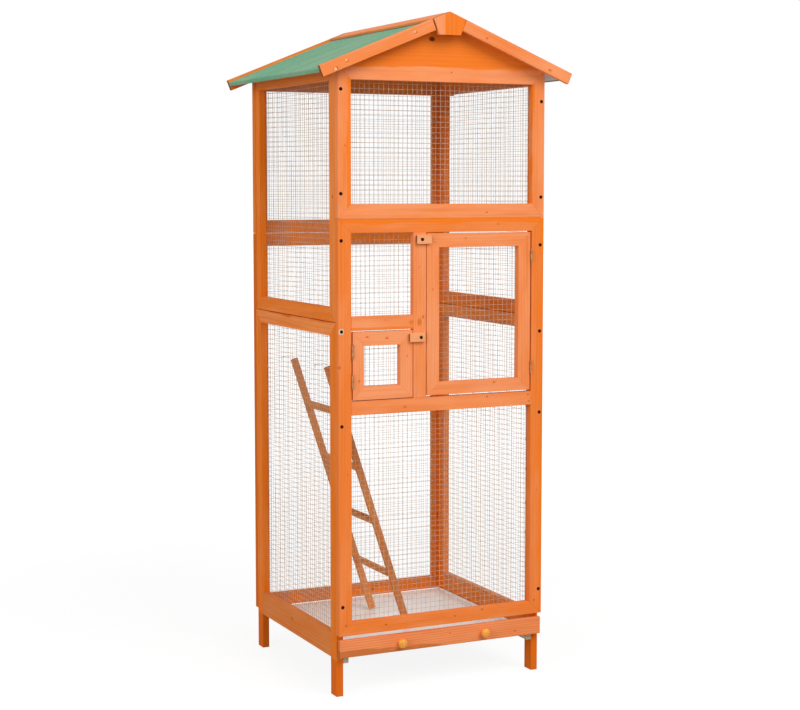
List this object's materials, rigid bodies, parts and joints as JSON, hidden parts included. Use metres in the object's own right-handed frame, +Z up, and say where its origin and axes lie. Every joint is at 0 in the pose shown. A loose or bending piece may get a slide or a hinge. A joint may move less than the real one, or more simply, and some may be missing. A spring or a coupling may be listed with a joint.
{
  "type": "wooden bird cage",
  "caption": "Tall wooden aviary on legs with a gabled felt roof, wire mesh sides, hinged doors held by turn buttons, a slide-out tray and a hanging ladder.",
  "frame": {"origin": "on the floor under the middle of the cage", "axes": "+Z up, the front with the doors faces -Y, +X to the right of someone facing the front"},
  "size_m": [0.68, 0.63, 1.65],
  "materials": {
    "wood": "satin orange stain on pine",
    "button_wood": "pale orange stain on pine",
    "raw_wood": "unstained pine",
    "knob_wood": "yellow varnish",
    "wire": "galvanised",
    "felt": "green mineral roof felt",
    "sheet": "pale painted sheet",
    "steel": "plated hinge steel",
    "screw": "black"
  },
  "bodies": {
    "cage": {"front_upper_frame": "wood", "front_door_frame": "wood", "back_upper_frame": "wood", "back_lower_frame": "wood", "left_upper_frame": "wood", "left_lower_frame": "wood", "right_upper_frame": "wood", "right_lower_frame": "wood", "front_upper_mesh": "wire", "front_window_mesh": "wire", "front_lower_mesh": "wire", "back_upper_mesh": "wire", "back_lower_mesh": "wire", "left_upper_mesh": "wire", "left_lower_mesh": "wire", "right_upper_mesh": "wire", "right_lower_mesh": "wire", "left_roof_panel": "felt", "right_roof_panel": "felt", "left_ridge_board": "wood", "right_ridge_board": "wood", "front_left_barge_board": "wood", "front_right_barge_board": "wood", "back_left_barge_board": "wood", "back_right_barge_board": "wood", "front_ridge_block": "wood", "back_ridge_block": "wood", "left_tray_runner": "raw_wood", "right_tray_runner": "raw_wood", "large_door_upper_frame_leaf": "steel", "large_door_lower_frame_leaf": "steel", "small_door_upper_frame_leaf": "steel", "small_door_lower_frame_leaf": "steel", "large_door_button_screw": "screw", "small_door_button_screw": "screw"},
    "large_door": {"large_door_frame": "wood", "large_door_mesh": "wire", "large_door_upper_door_leaf": "steel", "large_door_lower_door_leaf": "steel"},
    "small_door": {"small_door_frame": "wood", "small_door_mesh": "wire", "small_door_upper_door_leaf": "steel", "small_door_lower_door_leaf": "steel"},
    "large_button": {"large_door_button": "button_wood"},
    "small_button": {"small_door_button": "button_wood"},
    "tray": {"tray_front": "wood", "tray_pan": "sheet", "left_tray_knob": "knob_wood", "right_tray_knob": "knob_wood"},
    "ladder": {"ladder_front_rail": "wood", "ladder_rear_rail": "wood", "ladder_rung_1": "wood", "ladder_rung_2": "wood", "ladder_rung_3": "wood", "ladder_rung_4": "wood", "ladder_front_hook": "wire", "ladder_rear_hook": "wire"}
  },
  "joints": [
    {"name": "large_door_hinge", "type": "hinge", "parent": "cage", "child": "large_door", "pos_m": [0.2442, -0.286, 0.9225], "axis": [0, 0, 1], "range_deg": [0, 170]},
    {"name": "small_door_hinge", "type": "hinge", "parent": "cage", "child": "small_door", "pos_m": [-0.2442, -0.286, 0.806], "axis": [0, 0, -1], "range_deg": [0, 170]},
    {"name": "large_button_turn", "type": "hinge", "parent": "cage", "child": "large_button", "pos_m": [-0.062, -0.283, 1.107], "axis": [0, 1, 0], "range_deg": [-90, 90]},
    {"name": "small_button_turn", "type": "hinge", "parent": "cage", "child": "small_button", "pos_m": [-0.065, -0.283, 0.87], "axis": [0, -1, 0], "range_deg": [-90, 90]},
    {"name": "tray_slide", "type": "slide", "parent": "cage", "child": "tray", "axis": [0, -1, 0], "range_m": [0, 0.45]},
    {"name": "ladder_swing", "type": "hinge", "parent": "cage", "child": "ladder", "pos_m": [-0.26095, 0, 0.79325], "axis": [0, -1, 0], "range_deg": [0, 20]}
  ]
}
